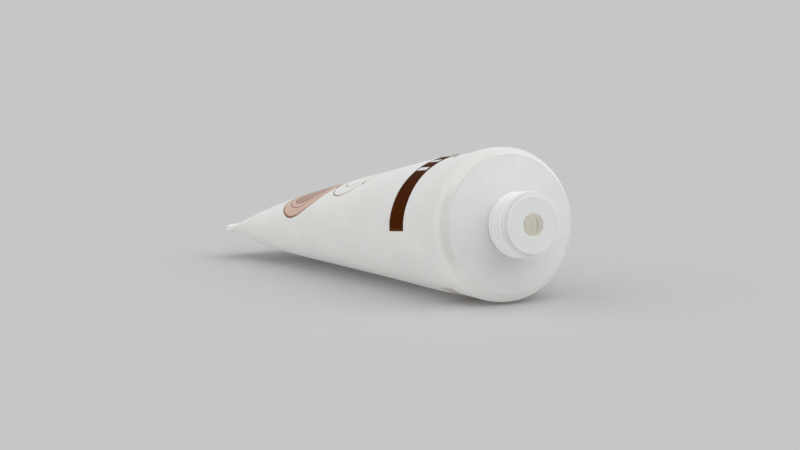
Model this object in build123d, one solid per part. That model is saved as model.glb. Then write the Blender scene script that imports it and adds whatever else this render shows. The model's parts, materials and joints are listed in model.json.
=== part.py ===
from build123d import *
import math
import os

# Cosmetic squeeze tube without its cap, lying on its broad side
#
# The tube is first modelled about its own axis: +X runs along the axis towards the mouth, x = 0 is
# where the sleeve starts to roll over the shoulder, and the sealed tail lies level in the XY plane.
# At the end it is laid down: its underside, slightly flattened by its own weight, rests on z = 0.
# All lengths are in millimetres.

# Driving dimensions of the sleeve
SLEEVE_DIAMETER = 35.0
SLEEVE_WALL = 0.6
BODY_LENGTH = 100.0         # from the inner line of the tail seal to the start of the shoulder
COLLAR_LENGTH = 2.1         # straight round stretch that is welded to the head's skirt
TOP_FALL = 9.55             # how far the upper side comes down from the round end to the heel
UNDERSIDE_FALL = 8.72       # how far the underside comes up from the round end to the heel
TOP_FULLNESS = 0.46         # swell of the upper side above a straight line
EASE_LENGTH = 5.25          # half of the stretch over which the slopes start behind the collar
TOP_HEEL = 10.3             # how slowly the upper side opens out of the tail seal
UNDERSIDE_HEEL = 7.6        # how slowly the underside opens out of the tail seal
SIDE_BLUNTNESS = 0.89       # upright pull of a section at its side, where the sleeve leaves the seal
SIDE_REACH = 3.1            # length over which that pull fades
FLAT_BLUNTNESS = 1.11       # level pull of a section at its crown, where the sleeve leaves the seal
FLAT_REACH = 5.5            # length over which that pull fades
REST_FLATTENING = 0.15      # how far the soft underside gives where the tube lies on it

# Driving dimensions of the tail seal
SEAL_LENGTH = 6.4
SEAL_BEAD_THICKNESS = 2.4   # the welded end of the seal is thicker than two walls
CREASE_GAP = 0.1            # opening of the sleeve's inner faces at the inner line of the seal

# Driving dimensions of the rolled edge and the shoulder
ROLL_LENGTH = 3.33
ROLL_SHOULDER = 0.36        # share of that length over which the roll keeps near the sleeve's diameter
ROLL_LANDING = (0.6, 0.83)  # last handle of the roll, as shares of its length and of its drop
SHOULDER_DIAMETER = 31.4    # where the rolled edge of the sleeve ends on the shoulder
EDGE_STEP = 0.05            # the sleeve's edge stands this far above the cone
SKIRT_WALL = 1.0
SHOULDER_WALL = 1.3

# Driving dimensions of the neck and the mouth
NECK_BASE = 6.2             # where the cone meets the neck, ahead of x = 0
NECK_DIAMETER = 13.2        # root of the screw thread, without the thread itself
NECK_FRONT = 13.4
NECK_WALL = 1.3
NECK_FOOT_ROUND = 0.4
LIP_ROUND = 0.35
MOUTH_DIAMETER = 5.1
MOUTH_WALL = 1.65
MOUTH_EDGE = 0.2

CIRCLE_PULL = 0.5523        # handle length, in radii, with which a cubic curve follows a quarter circle
STATIONS = 11
STATION_CROWDING = 2.0      # draws the stations together towards the tail seal
SEAL_STEPS = 6
GIRTH_STEPS = 40
SOLVER_STEPS = 50

SLEEVE_RADIUS = SLEEVE_DIAMETER / 2
SHOULDER_RADIUS = SHOULDER_DIAMETER / 2
NECK_RADIUS = NECK_DIAMETER / 2
MOUTH_RADIUS = MOUTH_DIAMETER / 2
GIRTH = math.pi * SLEEVE_DIAMETER
SLOPE_LENGTH = BODY_LENGTH - COLLAR_LENGTH
REST_ANGLE = math.atan(UNDERSIDE_FALL / (SLOPE_LENGTH - EASE_LENGTH))


# How the sleeve flattens

def half_thickness(distance, fall, heel, fullness):
    """Height of one side above the seal's plane, at a distance ahead of the seal's inner line."""
    behind_collar = max(SLOPE_LENGTH - distance, 0.0)
    share = behind_collar / SLOPE_LENGTH
    if behind_collar < 2 * EASE_LENGTH:
        eased = behind_collar ** 2 / (4 * EASE_LENGTH)
    else:
        eased = behind_collar - EASE_LENGTH
    straight = SLEEVE_RADIUS - fall * eased / (SLOPE_LENGTH - EASE_LENGTH)
    swell = 4 * fullness * share ** 1.5 * (1 - share)
    heel_height = SLEEVE_RADIUS - fall
    pinch = (heel_height - SLEEVE_WALL) * share / (1 + distance / heel) ** 2
    return straight + swell - pinch


def top_height(distance):
    return half_thickness(distance, TOP_FALL, TOP_HEEL, TOP_FULLNESS)


def underside_depth(distance):
    return half_thickness(distance, UNDERSIDE_FALL, UNDERSIDE_HEEL, 0.0)


def handle_pull(distance, bluntness, reach):
    """Handle length of a section's quarter: blunt at the seal, that of a circle at the collar."""
    share = max(SLOPE_LENGTH - distance, 0.0) / SLOPE_LENGTH
    return CIRCLE_PULL + (bluntness - CIRCLE_PULL) * share / (1 + distance / reach)


def quarter_length(half_width, height, side_pull, flat_pull):
    """Length of one quarter of a section, from its side to its crown."""
    length = 0.0
    last_y, last_z = half_width, 0.0
    for step in range(1, GIRTH_STEPS + 1):
        t = step / GIRTH_STEPS
        s = 1 - t
        y = half_width * (s ** 3 + 3 * s ** 2 * t + 3 * s * t ** 2 * flat_pull)
        z = height * (3 * s ** 2 * t * side_pull + 3 * s * t ** 2 + t ** 3)
        length += math.hypot(y - last_y, z - last_z)
        last_y, last_z = y, z
    return length


def half_width(top, bottom, side_pull, flat_pull):
    """Half-width at which the section keeps the girth of the round sleeve."""
    narrow, wide = SLEEVE_RADIUS / 2, SLEEVE_DIAMETER
    for _ in range(SOLVER_STEPS):
        middle = (narrow + wide) / 2
        upper = quarter_length(middle, top, side_pull, flat_pull)
        lower = quarter_length(middle, bottom, side_pull, flat_pull)
        if 2 * (upper + lower) < GIRTH:
            narrow = middle
        else:
            wide = middle
    return narrow


def section(x, width, top, bottom, side_pull, flat_pull):
    """Closed section of four cubic quarters in the plane at x, with its crown and sides level."""
    quarters = []
    for side, height in ((1, top), (-1, top), (-1, -bottom), (1, -bottom)):
        points = [
            (x, side * width, 0),
            (x, side * width, side_pull * height),
            (x, side * flat_pull * width, height),
            (x, 0, height),
        ]
        if side * height < 0:
            points.reverse()
        quarters.append(Bezier(*points).edge())
    return Wire(quarters)


def round_section(x, radius):
    """Circle of four quarter arcs that start where the cubic quarters do."""
    plane = Plane(origin=(x, 0, 0), x_dir=(0, 1, 0), z_dir=(1, 0, 0))
    quarters = [
        Edge.make_circle(radius, plane, start_angle=90 * turn, end_angle=90 * turn + 90)
        for turn in range(4)
    ]
    return Wire(quarters)


def stations():
    """Distances from the seal's inner line to the collar, closer together near the seal."""
    return [SLOPE_LENGTH * (i / STATIONS) ** STATION_CROWDING for i in range(STATIONS)]


def side_slope(profile, distance):
    step = 0.01
    return (profile(distance + step) - profile(distance)) / step


def body_sections(inset):
    """Sections of the sleeve from the seal to the collar; an inset of one wall gives the inside."""
    sections = []
    for distance in stations():
        top, bottom = top_height(distance), underside_depth(distance)
        side_pull = handle_pull(distance, SIDE_BLUNTNESS, SIDE_REACH)
        flat_pull = handle_pull(distance, FLAT_BLUNTNESS, FLAT_REACH)
        width = half_width(top, bottom, side_pull, flat_pull) - inset
        top_inset = inset * math.hypot(1, side_slope(top_height, distance))
        bottom_inset = inset * math.hypot(1, side_slope(underside_depth, distance))
        top = max(top - top_inset, CREASE_GAP / 2)
        bottom = max(bottom - bottom_inset, CREASE_GAP / 2)
        sections.append(section(distance - BODY_LENGTH, width, top, bottom, side_pull, flat_pull))
    sections.append(round_section(-COLLAR_LENGTH, SLEEVE_RADIUS - inset))
    return sections


def resting_surface():
    """Surface that the tube lies on, along the straight part of its underside."""
    underside = Plane(
        origin=(-COLLAR_LENGTH - EASE_LENGTH, 0, -SLEEVE_RADIUS),
        x_dir=(math.cos(REST_ANGLE), 0, -math.sin(REST_ANGLE)),
        z_dir=(math.sin(REST_ANGLE), 0, math.cos(REST_ANGLE)),
    )
    return underside.offset(REST_FLATTENING)


def flattened(body, inset):
    """The body without what would be below the resting surface, or below one inset above it."""
    return split(body, bisect_by=resting_surface().offset(inset), keep=Keep.TOP)


def tail_seal():
    """The two walls welded flat: a band that swells to a rounded bead at its trimmed end."""
    side_pull = handle_pull(0, SIDE_BLUNTNESS, SIDE_REACH)
    flat_pull = handle_pull(0, FLAT_BLUNTNESS, FLAT_REACH)
    width = half_width(SLEEVE_WALL, SLEEVE_WALL, side_pull, flat_pull)
    bead = SEAL_BEAD_THICKNESS / 2
    band_length = SEAL_LENGTH - bead

    def outline(out, across, up):
        return section(-BODY_LENGTH - out, across, up, up, side_pull, flat_pull)

    sections = []
    for step in range(SEAL_STEPS):
        share = step / SEAL_STEPS
        swell = (bead - SLEEVE_WALL) * math.sin(share * math.pi / 2)
        sections.append(outline(share * band_length, width, SLEEVE_WALL + swell))
    for angle in (0, 25, 45, 62, 76, 86):
        turn = math.radians(angle)
        narrower = bead * (1 - math.cos(turn))
        sections.append(outline(band_length + bead * math.sin(turn), width - narrower, bead - narrower))
    steps = [Solid.make_loft(pair, ruled=True) for pair in zip(sections, sections[1:])]
    return steps[0].fuse(*steps[1:])


# The rolled edge, which the sleeve and the head share

def roll_curve(inset):
    """Curve from the round end of the sleeve over a tight edge to its slanting end on the shoulder."""
    length = ROLL_LENGTH - inset
    radius = SLEEVE_RADIUS - inset
    landing_length, landing_drop = ROLL_LANDING
    return Bezier(
        (0, 0, radius),
        (ROLL_SHOULDER * length, 0, radius),
        ((1 - landing_length) * length, 0, SHOULDER_RADIUS + landing_drop * (radius - SHOULDER_RADIUS)),
        (length, 0, SHOULDER_RADIUS),
    )


def turned(lines):
    """Solid of revolution about the tube's axis from a closed outline in the XZ plane."""
    return revolve(make_face(Curve() + lines), Axis.X)


def rolled_collar():
    """Round end of the sleeve: the collar over the skirt and the edge rolled over the shoulder."""
    outer, inner = SLEEVE_RADIUS, SLEEVE_RADIUS - SLEEVE_WALL
    edge_outer, edge_inner = ROLL_LENGTH, ROLL_LENGTH - SLEEVE_WALL
    return turned([
        Line((-COLLAR_LENGTH, 0, inner), (-COLLAR_LENGTH, 0, outer)),
        Line((-COLLAR_LENGTH, 0, outer), (0, 0, outer)),
        roll_curve(0),
        Line((edge_outer, 0, SHOULDER_RADIUS), (edge_inner, 0, SHOULDER_RADIUS)),
        roll_curve(SLEEVE_WALL),
        Line((0, 0, inner), (-COLLAR_LENGTH, 0, inner)),
    ])


def make_sleeve():
    skin = flattened(Solid.make_loft(body_sections(0)), 0)
    hollow = flattened(Solid.make_loft(body_sections(SLEEVE_WALL)), SLEEVE_WALL)
    return (skin - hollow) + tail_seal() + rolled_collar()


def make_head():
    """One moulding: skirt, shoulder cone, neck and front wall with the round mouth."""
    skirt_outer = SLEEVE_RADIUS - SLEEVE_WALL
    skirt_inner = skirt_outer - SKIRT_WALL
    cone_start = (ROLL_LENGTH - EDGE_STEP, SHOULDER_RADIUS)
    cone_slope = (NECK_BASE - cone_start[0]) / (SHOULDER_RADIUS - NECK_RADIUS)
    bore = NECK_RADIUS - NECK_WALL
    inner_bend = SHOULDER_RADIUS - SHOULDER_WALL
    wall_along_axis = SHOULDER_WALL * math.hypot(1, cone_slope)

    def cone_inside(radius):
        return NECK_BASE - (radius - NECK_RADIUS) * cone_slope - wall_along_axis

    outline = [
        (cone_start[0], 0, SHOULDER_RADIUS),
        (NECK_BASE, 0, NECK_RADIUS),
        (NECK_FRONT, 0, NECK_RADIUS),
        (NECK_FRONT, 0, MOUTH_RADIUS),
        (NECK_FRONT - MOUTH_WALL, 0, MOUTH_RADIUS),
        (NECK_FRONT - MOUTH_WALL, 0, bore),
        (cone_inside(bore), 0, bore),
        (cone_inside(inner_bend), 0, inner_bend),
        (0, 0, skirt_inner),
        (-COLLAR_LENGTH, 0, skirt_inner),
        (-COLLAR_LENGTH, 0, skirt_outer),
        (0, 0, skirt_outer),
    ]
    lines = [Line(a, b) for a, b in zip(outline, outline[1:])]
    lines.append(roll_curve(SLEEVE_WALL))
    lines.append(Line((ROLL_LENGTH - SLEEVE_WALL, 0, SHOULDER_RADIUS), outline[0]))
    head = turned(lines)
    for x, radius, size in (
        (NECK_BASE, NECK_RADIUS, NECK_FOOT_ROUND),
        (NECK_FRONT, NECK_RADIUS, LIP_ROUND),
        (NECK_FRONT, MOUTH_RADIUS, MOUTH_EDGE),
    ):
        head = fillet(circle_edges(head, x, radius), size)
    return head


def circle_edges(solid, x, radius):
    """Round edges of a turned solid at a place along its axis."""
    return [
        edge for edge in solid.edges().filter_by(GeomType.CIRCLE)
        if abs(edge.radius - radius) < 1e-4 and abs(edge.arc_center.X - x) < 1e-4
    ]


def laid_down(parts):
    """Sets the tube on its resting surface, z = 0, with the middle of its length at x = 0."""
    level_parts = [resting_surface().to_local_coords(part) for part in parts]
    boxes = [part.bounding_box() for part in level_parts]
    rear = min(box.min.X for box in boxes)
    front = max(box.max.X for box in boxes)
    shift = Pos(-(rear + front) / 2, 0, 0)
    return [shift * part for part in level_parts]


def main():
    sleeve, head = laid_down([make_sleeve(), make_head()])
    os.makedirs("parts", exist_ok=True)
    export_step(sleeve, "parts/sleeve.step")
    export_step(head, "parts/head.step")


main()
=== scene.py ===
import json
import math
import bmesh
import bpy
from bpy.props import FloatProperty, FloatVectorProperty, IntProperty, PointerProperty
from mathutils import Matrix, Vector


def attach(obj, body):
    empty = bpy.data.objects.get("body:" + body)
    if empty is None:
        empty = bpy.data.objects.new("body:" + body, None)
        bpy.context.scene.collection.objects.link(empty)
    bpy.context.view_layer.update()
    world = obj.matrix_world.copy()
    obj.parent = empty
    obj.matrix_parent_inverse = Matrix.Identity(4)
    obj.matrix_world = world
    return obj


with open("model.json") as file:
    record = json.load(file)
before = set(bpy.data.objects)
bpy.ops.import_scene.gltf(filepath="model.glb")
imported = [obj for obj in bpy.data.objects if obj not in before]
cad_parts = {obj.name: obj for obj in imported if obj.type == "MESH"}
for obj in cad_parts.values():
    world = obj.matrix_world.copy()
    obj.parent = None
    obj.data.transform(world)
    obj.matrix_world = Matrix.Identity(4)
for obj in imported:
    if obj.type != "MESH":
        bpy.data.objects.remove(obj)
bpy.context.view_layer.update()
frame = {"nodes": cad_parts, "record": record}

bl_info = {
    "name": "Cosmetic squeeze tube",
    "version": (1, 0, 0),
    "blender": (4, 5, 0),
    "location": "View3D > Sidebar > Tube",
    "description": "Finishes a packed squeeze tube: printed film, moulded head, screw thread and studio",
    "category": "Object",
}

# The tube's own axes
#
# The neck's mount gives the axis of the round end. Along it, x = 0 is where the sleeve starts to roll
# over the shoulder, and the mouth is ahead. NECK_MIDDLE is the mount's place on this axis, in metres.
# The print and the thread are stated on these axes.

MILLIMETRE = 0.001
NECK = next(mount for mount in frame["record"]["mounts"] if mount["name"] == "neck")
NECK_MIDDLE = 0.00977
AXIS = Vector(NECK["axis"]).normalized()
TILT = math.atan2(AXIS.z, AXIS.x)
ORIGIN = Vector(NECK["pos_m"]) - AXIS * NECK_MIDDLE
NECK_RADIUS = NECK["dims"]["r_mm"] * MILLIMETRE
TUBE_TO_ROW = Matrix.Translation(ORIGIN) @ Matrix.Rotation(-TILT, 4, "Y")

# In millimetres: the height at x = 0 and the slope of the middle line of the sleeve's upper side, the
# place where the tail seal starts, the place where the bare head starts, and that of the neck's front
CROWN_HEIGHT = 18.4
CROWN_SLOPE = 0.1057
SEAL_START = -100.0
HEAD_START = 2.4
NECK_FRONT = 13.4


def millimetres(value):
    return value / MILLIMETRE


# Settings

def length(name, description, default):
    return FloatProperty(
        name=name, description=description, default=default, unit="LENGTH", precision=5
    )


def angle(name, description, degrees):
    return FloatProperty(
        name=name, description=description, default=math.radians(degrees), unit="ROTATION"
    )


def colour(name, description, default):
    return FloatVectorProperty(
        name=name, description=description, default=default, subtype="COLOR", min=0, max=1
    )


def direction(name, description, default):
    return FloatVectorProperty(name=name, description=description, default=default, subtype="XYZ")


def strength(name, description, default):
    return FloatProperty(name=name, description=description, default=default, min=0)


def share(name, description, default):
    return FloatProperty(
        name=name, description=description, default=default, subtype="FACTOR", min=0, max=1
    )


class FilmSettings(bpy.types.PropertyGroup):
    """Finish of the sleeve's film"""

    film: colour("Film", "Colour of the white film", (0.746, 0.744, 0.726))
    translucency: share("Translucency", "How much of the light scatters inside the wall", 0.9)
    scatter: length("Scatter", "How far light that falls on the outside travels in the wall", 0.0003)
    gloss: share("Gloss", "Strength of the satin film's reflections", 0.005)
    gloss_break: share("Roughness", "Roughness of the satin film", 0.42)
    ink_polish: share("Ink polish", "How much less rough the inked places are", 0.05)
    grain: length("Grain", "Depth of the film's fine grain", 0.00003)


class PrintSettings(bpy.types.PropertyGroup):
    """Print on the sleeve, along the tube's own axis and round it from the middle of its top"""

    band_middle: length("Band middle", "Middle of the dark band, along the tube", -0.0171)
    band_width: length("Band width", "Width of the dark band", 0.006)
    band: colour("Band", "Ink of the dark band", (0.061, 0.0128, 0.0004))
    band_end: colour("Band end", "Thinner ink at the band's two ends", (0.085, 0.026, 0.010))
    bar_length: share("Bar length", "Length of the white bars, as a share of the band's width", 0.8)
    bar_width: angle("Bar width", "Turn that one white bar covers", 4.1)
    bar_spacing: angle("Bar spacing", "Turn from one white bar to the next", 12.66)
    bar_reach: angle("Bar reach", "How far the white bars reach on each side of the top", 42)
    pink: colour("Pink", "Ink of the discs", (0.60, 0.42, 0.35))
    bronze: colour("Bronze", "Ink of the outlines and dots", (0.235, 0.118, 0.070))
    disc_place: length("Disc place", "Middle of the two discs, along the tube", -0.072)
    disc_radius: length("Disc radius", "Radius of each disc", 0.0117)
    core_size: share("Core size", "Radius of a disc's core, as a share of the disc's", 0.68)
    core_shade: share("Core shade", "How light a disc's core is beside the disc", 0.62)
    ring_place: length("Ring place", "Middle of the two rings, along the tube", -0.052)
    ring_radius: length("Ring radius", "Radius of each ring", 0.0086)
    ring_gap: length("Ring gap", "Distance of each ring from the middle of the top", 0.0006)
    ring_dot: length("Ring dot", "Radius of the dots on the rings", 0.0006)
    row_place: length("Row place", "Middle of the row of small dots, along the tube", -0.0103)
    row_length: length("Row length", "Length of a small dot, along the tube", 0.0015)
    row_width: angle("Row width", "Turn that one small dot covers", 5.2)
    row_spacing: angle("Row spacing", "Turn from one small dot to the next", 19)
    row_reach: angle("Row reach", "How far the row reaches on each side of the top", 25)
    rule_place: length("Rule place", "Middle of the fine rules on the underside", -0.0096)
    rule_range: length("Rule range", "Length along the tube that the rules take up", 0.0056)
    rule_width: length("Rule width", "Width of one rule", 0.0007)
    rule_spacing: length("Rule spacing", "Distance from one rule to the next", 0.0018)
    rule_reach: angle("Rule reach", "How far the rules reach on each side of the bottom", 37)


class InsideSettings(bpy.types.PropertyGroup):
    """Inner faces of both parts, with a painted glow that stands in for daylight through the translucent
    walls
    """

    # Painted light: the inner faces are kept dark and warm under a painted glow, standing in for
    # daylight through the walls
    inside: colour("Inside", "Colour of the inner faces, warmed by the walls", (0.20, 0.193, 0.172))
    scatter: length("Scatter", "How far light travels that comes through to the inside", 0.006)
    # Painted glow: an emission on the inner faces, which are no lamp
    painted_glow: colour("Glow", "Light that the walls let through from all sides", (0.306, 0.294, 0.253))


class HeadSettings(bpy.types.PropertyGroup):
    """Finish of the moulded head and its thread"""

    plastic: colour("Plastic", "Colour of the moulded plastic", (0.727, 0.738, 0.730))
    # Painted light and shade on the thread: its crest is painted lighter and its grooves darker than the
    # plastic
    thread: colour("Thread", "Colour of the thread's translucent crest", (0.86, 0.875, 0.86))
    painted_groove_shade: colour("Groove", "Colour of the thread's grooves", (0.76, 0.775, 0.765))
    translucency: share("Translucency", "How much of the light scatters inside the wall", 0.9)
    scatter: length("Scatter", "How far light that falls on the outside travels in the wall", 0.0003)
    gloss: share("Gloss", "Strength of the moulded surface's reflections", 0.2)
    gloss_break: share("Roughness", "Roughness of the moulded surface", 0.38)
    grain: length("Grain", "Depth of the moulded surface's fine grain", 0.000025)


class ThreadSettings(bpy.types.PropertyGroup):
    """Screw thread on the neck"""

    pitch: length("Pitch", "Advance of the thread in one turn", 0.00145)
    height: length("Height", "How far the thread stands out of the neck", 0.0008)
    foot: length("Foot", "Width of the thread where it leaves the neck", 0.0016)
    crest: length("Crest", "Width of the thread at its top", 0.0005)
    rounding: share("Rounding", "Rounding of the crest's corners, as a share of its width", 0.45)
    rounding_faces: IntProperty(name="Rounding faces", description="Faces of each rounding", default=3)
    sink: length("Sink", "How deep the thread's foot sits in the neck", 0.00015)
    start: length("Start", "Where the thread starts near the shoulder, along the tube", 0.00569)
    start_turn: angle("Start turn", "Where round the neck the thread starts, from the top", 180)
    turns: FloatProperty(name="Turns", description="Number of turns of the thread", default=5.1)
    run_out: angle("Run-out", "Turn over which each end of the thread dies away", 75)
    end_height: share("End height", "Share of the height that is left at the thread's very ends", 0.05)
    lip: length("Lip", "Length at the neck's front that the thread leaves bare", 0.00035)
    steps: IntProperty(name="Steps", description="Faces of the thread in one turn", default=72)
    smooth: angle("Smooth", "Edges that bend by less than this are shaded smooth", 50)


class StageSettings(bpy.types.PropertyGroup):
    """Floor, light and camera"""

    grey: FloatProperty(name="Grey", description="Grey of the floor and the background", default=0.565)
    floor_size: length("Floor size", "Width of the floor", 30)
    world_light: strength("World light", "Strength of the light from all sides", 0.42)
    key_light: strength("Key light", "Strength of the lamp above the mouth", 1.784)
    key_from: direction("Key from", "Where the key lamp's light comes from", (0.58, 0.32, 0.75))
    near_light: strength("Near light", "Strength of the lamp above the near side", 0.868)
    near_from: direction("Near from", "Where the near lamp's light comes from", (-0.42, -0.72, 0.55))
    under_light: strength("Under light", "Strength of the lamp below the floor", 0.677)
    under_from: direction("Under from", "Where the under lamp's light comes from", (0.25, -0.55, -0.80))
    softness: angle("Softness", "How wide the lamps are", 80)
    camera_place: FloatVectorProperty(
        name="Camera place", description="Where the camera stands",
        default=(0.37762, -0.18961, 0.06597), subtype="TRANSLATION", unit="LENGTH"
    )
    camera_turn: FloatVectorProperty(
        name="Camera turn", description="How the camera is turned",
        default=[math.radians(turn) for turn in (82.870, 1.069, 63.593)],
        subtype="EULER", unit="ROTATION"
    )
    lens: FloatProperty(name="Lens", description="Focal length in millimetres", default=76.69)


# Building materials
#
# Masks are 1 where something is and 0 elsewhere. Their edges fade over PRINT_EDGE millimetres on each
# side, or over TURN_EDGE radians where an edge is an angle round the tube.

PRINT_EDGE = 0.04
TURN_EDGE = 0.002
TOP = math.radians(90)
BOTTOM = math.radians(-90)

# A Mix node has sockets for numbers, vectors and colours under the same names, so the colour sockets
# are picked by their places
FIRST_COLOUR = 6
SECOND_COLOUR = 7
MIXED_COLOUR = 2


class Recipe:
    """Nodes of one material, in millimetres on the tube's own axes"""

    def __init__(self, name):
        self.material = bpy.data.materials.new(name)
        self.material.use_nodes = True
        self.tree = self.material.node_tree
        self.shader = self.tree.nodes["Principled BSDF"]
        self.place = self.node("ShaderNodeTexCoord").outputs["Object"]
        mapping = self.node("ShaderNodeMapping", vector_type="TEXTURE")
        mapping.inputs["Location"].default_value = ORIGIN
        mapping.inputs["Rotation"].default_value = (0, -TILT, 0)
        mapping.inputs["Scale"].default_value = (MILLIMETRE,) * 3
        self.tree.links.new(self.place, mapping.inputs["Vector"])
        self.point = mapping.outputs["Vector"]
        axes = self.node("ShaderNodeSeparateXYZ")
        self.tree.links.new(self.point, axes.inputs[0])
        self.along, self.across, self.up = axes.outputs
        self.round = self.from_crown()
        self.turn = self.maths("ARCTAN2", self.up, self.across)

    def from_crown(self):
        """Distance round the tube from the middle line of its upper side, negative on the near side"""
        crown = self.maths("MULTIPLY_ADD", self.along, CROWN_SLOPE, CROWN_HEIGHT)
        away = self.span(self.across, self.maths("SUBTRACT", crown, self.up))
        return self.maths("MULTIPLY", away, self.maths("SIGN", self.across))

    def span(self, first, second):
        """Length of the diagonal of two sides"""
        squares = [self.maths("MULTIPLY", side, side) for side in (first, second)]
        return self.maths("SQRT", self.maths("ADD", *squares))

    def node(self, kind, **settings):
        """A new node with the given settings"""
        made = self.tree.nodes.new(kind)
        for key, value in settings.items():
            setattr(made, key, value)
        return made

    def feed(self, socket, value):
        """Links a socket to another, or gives it a fixed value"""
        if isinstance(value, bpy.types.NodeSocket):
            self.tree.links.new(value, socket)
        else:
            socket.default_value = value

    def maths(self, operation, *values):
        """Result of one operation on numbers"""
        made = self.node("ShaderNodeMath", operation=operation)
        for socket, value in zip(made.inputs, values):
            self.feed(socket, value)
        return made.outputs[0]

    def vector(self, operation, *values):
        """Node with one operation on vectors"""
        made = self.node("ShaderNodeVectorMath", operation=operation)
        for socket, value in zip(made.inputs, values):
            self.feed(socket, value)
        return made

    def ramp(self, value, low, high, at_low=0.0, at_high=1.0):
        """Goes smoothly from at_low to at_high while the value goes from low to high"""
        made = self.node("ShaderNodeMapRange", interpolation_type="SMOOTHSTEP")
        for socket, given in zip(made.inputs, (value, low, high, at_low, at_high)):
            self.feed(socket, given)
        return made.outputs[0]

    def near(self, value, middle, half, edge=PRINT_EDGE):
        """1 where the value is within half of the middle"""
        away = self.maths("ABSOLUTE", self.maths("SUBTRACT", value, middle))
        return self.ramp(away, half - edge, half + edge, 1.0, 0.0)

    def near_turn(self, middle, reach):
        """1 within an angle of the middle, round the tube's axis"""
        return self.near(self.turn, middle, reach, TURN_EDGE)

    def above(self, value, limit, edge=PRINT_EDGE):
        """1 where the value is above the limit"""
        return self.ramp(self.maths("SUBTRACT", value, limit), -edge, edge)

    def stripes(self, value, spacing, width, edge=PRINT_EDGE):
        """1 in stripes that repeat with the value, the first of them at 0"""
        return self.near(self.maths("PINGPONG", value, spacing / 2), 0, width / 2, edge)

    def turn_stripes(self, spacing, width, edge):
        """1 in stripes that repeat round the tube, the first of them at its top"""
        return self.stripes(self.maths("SUBTRACT", self.turn, TOP), spacing, width, edge)

    def both(self, *masks):
        """1 where all the masks are, and the product of factors"""
        made = masks[0]
        for mask in masks[1:]:
            made = self.maths("MULTIPLY", made, mask)
        return made

    def either(self, *masks):
        """1 where any of the masks is"""
        made = masks[0]
        for mask in masks[1:]:
            made = self.maths("MAXIMUM", made, mask)
        return made

    def distance(self, along, across):
        """Distance from a point of the print, measured on the sleeve"""
        flat = self.node("ShaderNodeCombineXYZ")
        self.feed(flat.inputs[0], self.along)
        self.feed(flat.inputs[1], self.round)
        return self.vector("DISTANCE", flat.outputs[0], (along, across, 0)).outputs["Value"]

    def mix(self, mask, first, second):
        """The first colour where the mask is 0 and the second where it is 1"""
        made = self.node("ShaderNodeMix", data_type="RGBA")
        self.feed(made.inputs["Factor"], mask)
        for socket, value in ((made.inputs[FIRST_COLOUR], first), (made.inputs[SECOND_COLOUR], second)):
            self.feed(socket, value if isinstance(value, bpy.types.NodeSocket) else (*tuple(value), 1))
        return made.outputs[MIXED_COLOUR]

    def shaded(self, tint, shade):
        """A colour times a factor"""
        made = self.vector("SCALE", tint)
        self.feed(made.inputs["Scale"], shade)
        return made.outputs[0]

    def noise(self, scale, detail, stretch=None):
        """Smooth noise, about 0.5 on average"""
        made = self.node("ShaderNodeTexNoise")
        made.inputs["Scale"].default_value = scale
        made.inputs["Detail"].default_value = detail
        point = self.point
        if stretch:
            point = self.vector("MULTIPLY", self.point, stretch).outputs[0]
        self.tree.links.new(point, made.inputs["Vector"])
        return made.outputs["Fac"]

    def patches(self, scale, detail, low, high, stretch=None):
        """Uneven patches between a low and a high value"""
        low_noise, high_noise = 0.3, 0.7
        return self.ramp(self.noise(scale, detail, stretch), low_noise, high_noise, low, high)

    def outside(self):
        """1 on faces that look away from the tube's axis, on the head's front and on the tail seal"""
        outwards_edge = 0.01 * MILLIMETRE
        least_forwards = 0.2
        mouth_edge = 0.25
        seal_margin = 1
        facing = self.node("ShaderNodeNewGeometry").outputs["Normal"]
        from_start = self.vector("SUBTRACT", self.place, ORIGIN).outputs[0]
        on_axis = self.vector("PROJECT", from_start, AXIS).outputs[0]
        from_axis = self.vector("SUBTRACT", from_start, on_axis).outputs[0]
        away = self.vector("DOT_PRODUCT", facing, from_axis).outputs["Value"]
        ahead = self.vector("DOT_PRODUCT", facing, AXIS).outputs["Value"]
        outwards = self.above(away, 0, outwards_edge)
        on_front = self.both(self.above(ahead, least_forwards), self.above(self.along, HEAD_START))
        at_mouth = self.above(self.along, NECK_FRONT - mouth_edge)
        on_seal = self.above(SEAL_START + seal_margin, self.along)
        return self.either(outwards, on_front, at_mouth, on_seal)

    def paint_inner_glow(self, outside, base, scatter, light):
        """Colours the inner faces, gives them a painted glow, an emission standing in for light through
        the walls, and lets light scatter further in them
        """
        # Painted light: the inner faces glow by emission, standing in for daylight through the walls
        painted_glow = self.mix(outside, light.painted_glow, (0, 0, 0))
        reach = self.ramp(outside, 0, 1, light.scatter, scatter)
        self.feed(self.shader.inputs["Emission Color"], painted_glow)
        self.shader.inputs["Emission Strength"].default_value = 1
        self.feed(self.shader.inputs["Subsurface Scale"], reach)
        return self.mix(outside, light.inside, base)

    def finish(self, base, roughness, gloss, translucency, grain, depth):
        """Puts the material together, with a fine grain of the given depth in metres"""
        plastic_ior = 1.5
        grain_strength = 0.35
        self.feed(self.shader.inputs["Base Color"], base)
        self.feed(self.shader.inputs["Roughness"], roughness)
        self.feed(self.shader.inputs["Subsurface Weight"], translucency)
        self.shader.inputs["Subsurface Radius"].default_value = (1.0, 1.0, 1.0)
        self.shader.inputs["Specular IOR Level"].default_value = gloss
        self.shader.inputs["IOR"].default_value = plastic_ior
        made = self.node("ShaderNodeBump")
        made.inputs["Strength"].default_value = grain_strength
        made.inputs["Distance"].default_value = depth
        self.feed(made.inputs["Height"], grain)
        self.tree.links.new(made.outputs["Normal"], self.shader.inputs["Normal"])
        return self.material


# The print, in millimetres

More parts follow.
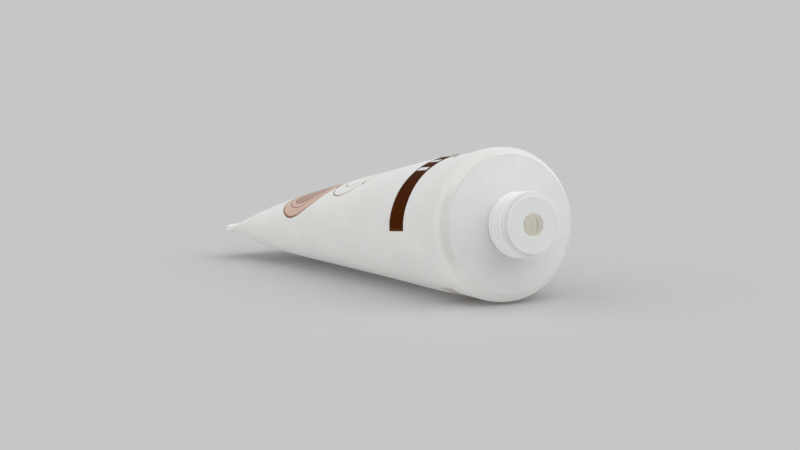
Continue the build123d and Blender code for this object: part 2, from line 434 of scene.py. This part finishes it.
def band_masks(recipe, ink):
    """The dark band, the part of it with the full ink, and the white bars in it"""
    back_lean, back_height = 0.35, 7
    front_lean, front_height = 0.7, 9
    foot_height, foot_slope = 0.05, 0.025
    end_height, end_fade = 0.7, 0.25
    bar_edge = math.radians(0.15)

    middle = millimetres(ink.band_middle)
    half = millimetres(ink.band_width) / 2
    back, front = middle - half, middle + half
    foot = recipe.maths("MULTIPLY_ADD", recipe.across, foot_slope, foot_height)
    band = recipe.both(
        recipe.above(recipe.along, recipe.ramp(recipe.up, 0, back_height, back - back_lean, back)),
        recipe.above(recipe.ramp(recipe.up, 0, front_height, front, front + front_lean), recipe.along),
        recipe.above(recipe.up, foot),
    )
    full = recipe.above(recipe.up, recipe.maths("ADD", foot, end_height), end_fade)
    bars = recipe.both(
        recipe.near(recipe.along, middle, half * ink.bar_length),
        recipe.turn_stripes(ink.bar_spacing, ink.bar_width, bar_edge),
        recipe.near_turn(TOP, ink.bar_reach),
        band,
    )
    return band, full, bars


def circles(recipe, distances, radius, lines):
    """Circles round some points: each line has its share of the radius and half its width"""
    return [recipe.near(away, radius * part, half) for part, half in lines for away in distances]


def disc_masks(recipe, ink):
    """The two discs, their cores and the lines round both"""
    core = ink.core_size
    lines = ((1, 0.2), (0.8, 0.12), (core, 0.12))
    place, radius = millimetres(ink.disc_place), millimetres(ink.disc_radius)
    distances = [recipe.distance(place, side * radius) for side in (-1, 1)]
    discs = recipe.either(*[recipe.near(away, 0, radius) for away in distances])
    cores = recipe.either(*[recipe.near(away, 0, radius * core) for away in distances])
    return discs, cores, circles(recipe, distances, radius, lines)


def ring_masks(recipe, ink):
    """The two rings with a smaller one in each, and the dots on them"""
    lines = ((1, 0.16), (0.6, 0.12))
    dot_turns = (30, 150, 270)
    place, radius = millimetres(ink.ring_place), millimetres(ink.ring_radius)
    away_from_top = radius + millimetres(ink.ring_gap)
    distances = [recipe.distance(place, side * away_from_top) for side in (-1, 1)]
    dots = []
    for side in (-1, 1):
        for turn in dot_turns:
            along = place + radius * math.cos(math.radians(turn))
            across = side * (away_from_top + radius * math.sin(math.radians(turn)))
            dots.append(recipe.near(recipe.distance(along, across), 0, millimetres(ink.ring_dot)))
    return [*circles(recipe, distances, radius, lines), *dots]


def small_masks(recipe, ink):
    """The row of small dots ahead of the band, and the fine rules on the underside"""
    dot_edge = math.radians(0.1)
    dots = recipe.both(
        recipe.near(recipe.along, millimetres(ink.row_place), millimetres(ink.row_length) / 2),
        recipe.near_turn(TOP, ink.row_reach),
        recipe.turn_stripes(ink.row_spacing, ink.row_width, dot_edge),
    )
    rules = recipe.both(
        recipe.stripes(recipe.along, millimetres(ink.rule_spacing), millimetres(ink.rule_width)),
        recipe.near(recipe.along, millimetres(ink.rule_place), millimetres(ink.rule_range) / 2),
        recipe.near_turn(BOTTOM, ink.rule_reach),
    )
    return recipe.either(dots, rules)


def painted_edge_light(recipe, start, full, middle, gone, shade):
    """Painted light and shade on the rolled edge, as a factor on the film's colour: above 1 it paints a
    highlight, below 1 it paints shade. It comes in along the tube between start and full, and it is
    strongest at the tube's sides: it fades up and down between the heights middle and gone"""
    ring = recipe.ramp(recipe.along, start, full)
    side = recipe.ramp(recipe.maths("ABSOLUTE", recipe.up), middle, gone, 1.0, 0.0)
    return recipe.ramp(recipe.both(ring, side), 0, 1, 1.0, shade)


def printed_film(film, ink, light):
    """White satin film with painted light and shade on its rolled edge, its print on the outer face
    only, and the inner face with its painted glow that shows in the mouth
    """
    side_height = 0.6
    recipe = Recipe("printed film")
    outside = recipe.outside()
    top = recipe.above(recipe.up, side_height)
    band, full, bars = band_masks(recipe, ink)
    discs, cores, disc_lines = disc_masks(recipe, ink)
    lines = recipe.either(*disc_lines, *ring_masks(recipe, ink))
    on_top = recipe.both(discs, top)

    # The film's tone: random patches and streaks, and on the rolled edge a painted highlight ring and a
    # painted shade ring
    shade = recipe.both(
        recipe.patches(scale=0.09, detail=3.0, low=0.975, high=1.02),
        recipe.patches(scale=1.0, detail=2.0, low=0.99, high=1.01, stretch=(0.05, 1.6, 1.6)),
        # Painted highlight on the roll's bright ridge, then painted shade on its darker strip
        painted_edge_light(recipe, start=0.0, full=0.9, middle=7, gone=16, shade=1.04),
        painted_edge_light(recipe, start=1.2, full=2.1, middle=5, gone=12, shade=0.91),
    )
    base = recipe.shaded(tuple(film.film), shade)
    for mask, tint in (
        (on_top, ink.pink),
        (recipe.both(cores, top), [ink.core_shade * part for part in ink.pink]),
        (recipe.both(lines, top), ink.bronze),
        (small_masks(recipe, ink), ink.bronze),
        (band, recipe.mix(full, ink.band_end, ink.band)),
        (bars, film.film),
    ):
        base = recipe.mix(mask, base, tint)
    base = recipe.paint_inner_glow(outside, base, film.scatter, light)
    inked = recipe.both(outside, recipe.either(band, on_top))
    roughness = recipe.ramp(inked, 0, 1, film.gloss_break, film.gloss_break - film.ink_polish)
    translucency = recipe.ramp(recipe.both(outside, band), 0, 1, film.translucency, 0)
    grain = recipe.noise(scale=2.2, detail=4.0)
    return recipe.finish(base, roughness, film.gloss, translucency, grain, film.grain)


# The moulded plastic

def moulded_finish(recipe, head, plastic, translucency, light):
    """A fine moulded surface with faint flow marks"""
    smoother = head.gloss_break - 0.03
    rougher = head.gloss_break + 0.04
    flow = recipe.patches(scale=0.22, detail=3.0, low=0.98, high=1.015)
    base = recipe.paint_inner_glow(recipe.outside(), recipe.shaded(plastic, flow), head.scatter, light)
    roughness = recipe.patches(scale=0.5, detail=2.0, low=smoother, high=rougher)
    grain = recipe.noise(scale=3.0, detail=4.0)
    return recipe.finish(base, roughness, head.gloss, translucency, grain, head.grain)


def moulded_plastic(head, light):
    """Slightly cooler white plastic than the film"""
    recipe = Recipe("moulded plastic")
    return moulded_finish(recipe, head, tuple(head.plastic), head.translucency, light)


def thread_plastic_painted_light(head, thread, light):
    """The head's plastic with painted light and shade: lighter on the thin crest than in the grooves,
    and painted shade before the lip
    """
    groove_height = 0.25
    shade_length, shade = 1.3, 0.82
    recipe = Recipe("thread plastic with painted light")
    neck = millimetres(NECK_RADIUS)
    radius = recipe.span(recipe.across, recipe.up)
    # Painted light: the crest is painted lighter than the grooves, by distance from the axis
    crest = recipe.ramp(radius, neck + groove_height, neck + millimetres(thread.height))
    lip = NECK_FRONT - millimetres(thread.lip)
    # Painted shade over the last turn before the lip
    painted_lip_shade = recipe.ramp(recipe.along, lip - shade_length, lip, 1.0, shade)
    plastic = recipe.shaded(recipe.mix(crest, head.painted_groove_shade, head.thread), painted_lip_shade)
    return moulded_finish(recipe, head, plastic, 0, light)


# Steps, one for each piece and one for the stage

def give(piece, material):
    """Makes this the piece's only material"""
    piece.data.materials.clear()
    piece.data.materials.append(material)


def eased(part):
    """A share from 0 to 1 that starts and stops gently"""
    return part * part * (3 - 2 * part)


class TUBE_OT_film(bpy.types.Operator):
    """Give the sleeve its printed satin film"""

    bl_idname = "tube.film"
    bl_label = "Finish the sleeve"

    def execute(self, context):
        scene = context.scene
        film = printed_film(scene.tube_film, scene.tube_print, scene.tube_inside)
        give(frame["nodes"]["sleeve"], film)
        return {"FINISHED"}


class TUBE_OT_head(bpy.types.Operator):
    """Give the head its moulded plastic"""

    bl_idname = "tube.head"
    bl_label = "Finish the head"

    def execute(self, context):
        scene = context.scene
        give(frame["nodes"]["head"], moulded_plastic(scene.tube_head, scene.tube_inside))
        return {"FINISHED"}


class TUBE_OT_thread(bpy.types.Operator):
    """Wind the screw thread round the neck"""

    bl_idname = "tube.thread"
    bl_label = "Add the thread"

    def execute(self, context):
        scene = context.scene
        thread = scene.tube_thread
        piece = self.section(thread)
        steps = self.wind(piece, thread)
        self.fade_ends(piece, thread, steps)
        self.close(piece)
        piece.data.transform(TUBE_TO_ROW @ Matrix.Rotation(thread.start_turn, 4, "X"))
        bpy.ops.object.shade_smooth_by_angle(angle=thread.smooth)
        give(piece, thread_plastic_painted_light(scene.tube_head, thread, scene.tube_inside))
        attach(piece, "root")
        return {"FINISHED"}

    def section(self, thread):
        """The thread's section: a plane with its upper edge narrowed to the crest and rounded"""
        bpy.ops.object.select_all(action="DESELECT")
        foot_radius = NECK_RADIUS - thread.sink
        crest_radius = NECK_RADIUS + thread.height
        bpy.ops.mesh.primitive_plane_add(
            size=1, location=(thread.start, 0, (foot_radius + crest_radius) / 2),
            rotation=(math.pi / 2, 0, 0)
        )
        piece = bpy.context.object
        piece.name = "neck_thread"
        piece.scale = (thread.foot, crest_radius - foot_radius, 1)
        bpy.ops.object.transform_apply(location=True, rotation=True, scale=True)

        bpy.ops.object.mode_set(mode="EDIT")
        mesh = bmesh.from_edit_mesh(piece.data)
        bpy.ops.mesh.select_all(action="DESELECT")
        for vertex in mesh.verts:
            vertex.select = vertex.co.z > NECK_RADIUS
        mesh.select_flush_mode()
        bmesh.update_edit_mesh(piece.data)
        bpy.ops.transform.resize(
            value=(thread.crest / thread.foot, 1, 1), center_override=(thread.start, 0, crest_radius)
        )
        bpy.ops.mesh.bevel(
            offset=thread.crest * thread.rounding, segments=thread.rounding_faces, affect="VERTICES"
        )
        bpy.ops.object.mode_set(mode="OBJECT")
        return piece

    def wind(self, piece, thread):
        """Winds the section round the neck, and says in how many steps"""
        steps = round(thread.turns * thread.steps)
        winding = piece.modifiers.new("winding", "SCREW")
        winding.axis = "X"
        winding.angle = thread.turns * math.tau
        winding.screw_offset = thread.turns * thread.pitch
        winding.iterations = 1
        winding.steps = winding.render_steps = steps
        winding.use_smooth_shade = True
        bpy.ops.object.modifier_apply(modifier=winding.name)
        return steps

    def fade_ends(self, piece, thread, steps):
        """Lets both ends of the thread sink into the neck, and keeps it off the neck's front"""
        foot_radius = NECK_RADIUS - thread.sink
        lip = NECK_FRONT * MILLIMETRE - thread.lip
        section = len(piece.data.vertices) // (steps + 1)
        for vertex in piece.data.vertices:
            step = vertex.index // section
            vertex.co.x = min(vertex.co.x, lip)
            radius = math.hypot(vertex.co.y, vertex.co.z)
            from_end = min(step, steps - step) / thread.steps * math.tau
            fade = max(eased(min(from_end / thread.run_out, 1)), thread.end_height)
            if radius > NECK_RADIUS - thread.sink / 2:
                sunk = foot_radius + (radius - foot_radius) * fade
                vertex.co.y *= sunk / radius
                vertex.co.z *= sunk / radius

    def close(self, piece):
        """Closes both ends, merges doubled points and turns all faces outwards"""
        merge_distance = 0.001 * MILLIMETRE
        bpy.ops.object.mode_set(mode="EDIT")
        bpy.ops.mesh.select_all(action="SELECT")
        bpy.ops.mesh.fill_holes(sides=0)
        bpy.ops.mesh.select_all(action="SELECT")
        bpy.ops.mesh.remove_doubles(threshold=merge_distance)
        bpy.ops.mesh.normals_make_consistent(inside=False)
        bpy.ops.object.mode_set(mode="OBJECT")


class TUBE_OT_stage(bpy.types.Operator):
    """Set up the floor, the soft light and the camera"""

    bl_idname = "tube.stage"
    bl_label = "Set up the stage"

    def execute(self, context):
        scene = context.scene
        stage = scene.tube_stage
        bpy.ops.object.select_all(action="DESELECT")
        bpy.ops.mesh.primitive_plane_add(size=stage.floor_size)
        floor = context.object
        floor.name = "floor"
        give(floor, self.floor_paint(stage))
        # The lamp below the floor shines through it
        floor.visible_shadow = False
        scene.world = self.room_light(stage)
        self.lamp("key lamp", stage.key_light, stage.softness, stage.key_from)
        self.lamp("near lamp", stage.near_light, stage.softness, stage.near_from)
        under = self.lamp("under lamp", stage.under_light, stage.softness, stage.under_from)
        # With this sampling on, the lamp gives less light while the other lamps are lit
        under.cycles.use_multiple_importance_sampling = False
        camera = bpy.data.cameras.new("camera")
        camera.lens = stage.lens
        holder = bpy.data.objects.new("camera", camera)
        scene.collection.objects.link(holder)
        holder.location = stage.camera_place
        holder.rotation_euler = stage.camera_turn
        scene.camera = holder
        scene.view_settings.view_transform = "Standard"
        return {"FINISHED"}

    def floor_paint(self, stage):
        """Matt grey paint"""
        paint = bpy.data.materials.new("floor paint")
        paint.use_nodes = True
        shader = paint.node_tree.nodes["Principled BSDF"]
        shader.inputs["Base Color"].default_value = (stage.grey, stage.grey, stage.grey, 1)
        shader.inputs["Roughness"].default_value = 1
        shader.inputs["Specular IOR Level"].default_value = 0
        return paint

    def room_light(self, stage):
        """Even light from all sides; the camera and reflections see the floor's grey instead"""
        world = bpy.data.worlds.new("studio")
        world.use_nodes = True
        tree = world.node_tree
        light = tree.nodes["Background"]
        light.inputs["Color"].default_value = (1, 1, 1, 1)
        light.inputs["Strength"].default_value = stage.world_light
        seen = tree.nodes.new("ShaderNodeBackground")
        seen.inputs["Color"].default_value = (stage.grey, stage.grey, stage.grey, 1)
        rays = tree.nodes.new("ShaderNodeLightPath").outputs
        mirrored = self.larger(tree, rays["Is Glossy Ray"], rays["Is Transmission Ray"])
        direct = self.larger(tree, rays["Is Camera Ray"], mirrored)
        choice = tree.nodes.new("ShaderNodeMixShader")
        tree.links.new(direct, choice.inputs[0])
        tree.links.new(light.outputs[0], choice.inputs[1])
        tree.links.new(seen.outputs[0], choice.inputs[2])
        tree.links.new(choice.outputs[0], tree.nodes["World Output"].inputs["Surface"])
        return world

    def larger(self, tree, first, second):
        """The larger of two numbers"""
        made = tree.nodes.new("ShaderNodeMath")
        made.operation = "MAXIMUM"
        tree.links.new(first, made.inputs[0])
        tree.links.new(second, made.inputs[1])
        return made.outputs[0]

    def lamp(self, name, power, softness, shines_from):
        """A wide, distant lamp that shines from the given direction"""
        light = bpy.data.lights.new(name, "SUN")
        light.energy = power
        light.angle = softness
        holder = bpy.data.objects.new(name, light)
        bpy.context.scene.collection.objects.link(holder)
        holder.rotation_euler = Vector(shines_from).to_track_quat("Z", "Y").to_euler()
        return light


# The panel and the registration

class TUBE_PT_panel(bpy.types.Panel):
    """Lists the tube's steps in the sidebar"""

    bl_label = "Squeeze tube"
    bl_idname = "TUBE_PT_panel"
    bl_space_type = "VIEW_3D"
    bl_region_type = "UI"
    bl_category = "Tube"

    def draw(self, context):
        scene = context.scene
        for step, settings in (
            (TUBE_OT_film, (scene.tube_film, scene.tube_print, scene.tube_inside)),
            (TUBE_OT_head, (scene.tube_head, scene.tube_inside)),
            (TUBE_OT_thread, (scene.tube_thread,)),
            (TUBE_OT_stage, (scene.tube_stage,)),
        ):
            box = self.layout.box()
            box.operator(step.bl_idname)
            for group in settings:
                for key in type(group).__annotations__:
                    box.prop(group, key)


SETTINGS = {
    "tube_film": FilmSettings,
    "tube_print": PrintSettings,
    "tube_inside": InsideSettings,
    "tube_head": HeadSettings,
    "tube_thread": ThreadSettings,
    "tube_stage": StageSettings,
}
CLASSES = (*SETTINGS.values(), TUBE_OT_film, TUBE_OT_head, TUBE_OT_thread, TUBE_OT_stage, TUBE_PT_panel)


def register():
    for kind in CLASSES:
        bpy.utils.register_class(kind)
    for name, kind in SETTINGS.items():
        setattr(bpy.types.Scene, name, PointerProperty(type=kind))


def unregister():
    for name in SETTINGS:
        delattr(bpy.types.Scene, name)
    for kind in reversed(CLASSES):
        bpy.utils.unregister_class(kind)


def main():
    register()
    bpy.ops.tube.film()
    bpy.ops.tube.head()
    bpy.ops.tube.thread()
    bpy.ops.tube.stage()


if __name__ == "__main__":
    main()
